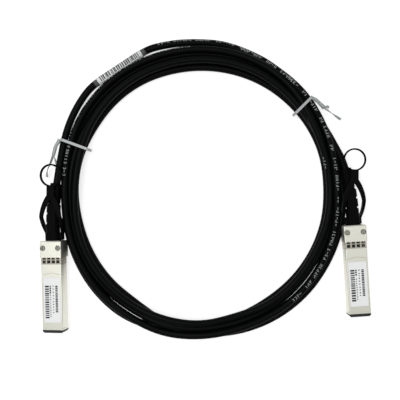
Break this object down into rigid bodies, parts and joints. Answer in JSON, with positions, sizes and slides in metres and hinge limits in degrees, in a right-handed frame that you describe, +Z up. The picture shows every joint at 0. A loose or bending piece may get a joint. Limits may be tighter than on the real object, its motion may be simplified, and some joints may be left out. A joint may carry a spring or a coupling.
{
  "type": "pluggable direct attach cable",
  "caption": "Coiled network cable with a pluggable metal connector and sliding pull tab at each end, held in a loop by twist ties.",
  "frame": {"origin": "on the table, under the middle of the bounding box of the two plugs", "axes": "+Z up from the table; +Y away from the noses of the plugs, towards the top of the coil; +X from plug A to plug B"},
  "size_m": [0.2047, 0.1885, 0.0143],
  "materials": {
    "cast_shell": "die-cast zinc with satin nickel plating",
    "black_moulding": "fine moulded texture",
    "circuit_card": "green solder mask",
    "gold_contact": "gold plated",
    "spring_steel": "stamped stainless strip",
    "screw_steel": "nickel plated, turned",
    "slider_steel": "stamped stainless sheet",
    "boot_moulding": "moulded, satin",
    "tab_moulding": "moulded, satin",
    "plug_label": "printed polyester film",
    "cable_jacket": "extruded, satin, printed with light marks",
    "cable_label": "printed film",
    "clear_sleeve": "clear heat-shrink film",
    "tie_plastic": "extruded ribbon with a wire inside"
  },
  "bodies": {
    "root": {"base_shell_a": "cast_shell", "rear_cover_a": "cast_shell", "top_shell_a": "cast_shell", "nose_guide_a": "black_moulding", "paddle_card_a": "circuit_card", "card_contacts_a": "gold_contact", "spring_collar_a": "spring_steel", "cover_screws_a": "screw_steel", "boot_a": "boot_moulding", "plug_label_a": "plug_label", "base_shell_b": "cast_shell", "rear_cover_b": "cast_shell", "top_shell_b": "cast_shell", "nose_guide_b": "black_moulding", "paddle_card_b": "circuit_card", "card_contacts_b": "gold_contact", "spring_collar_b": "spring_steel", "cover_screws_b": "screw_steel", "boot_b": "boot_moulding", "plug_label_b": "plug_label", "cable_coil": "cable_jacket", "cable_tail_a": "cable_jacket", "cable_tail_b": "cable_jacket", "cable_label": "cable_label", "label_sleeve": "clear_sleeve", "twist_tie_left": "tie_plastic", "twist_tie_right": "tie_plastic"},
    "puller_a": {"release_slider_a": "slider_steel", "pull_tab_a": "tab_moulding"},
    "puller_b": {"release_slider_b": "slider_steel", "pull_tab_b": "tab_moulding"}
  },
  "joints": [
    {"name": "release_a", "type": "slide", "parent": "root", "child": "puller_a", "axis": [-0.0262, 0.9997, 0], "range_m": [0, 0.0025], "stiffness_N_per_m": 800, "springref_m": -0.001},
    {"name": "release_b", "type": "slide", "parent": "root", "child": "puller_b", "axis": [-0.0628, 0.998, 0], "range_m": [0, 0.0025], "stiffness_N_per_m": 800, "springref_m": -0.001}
  ]
}
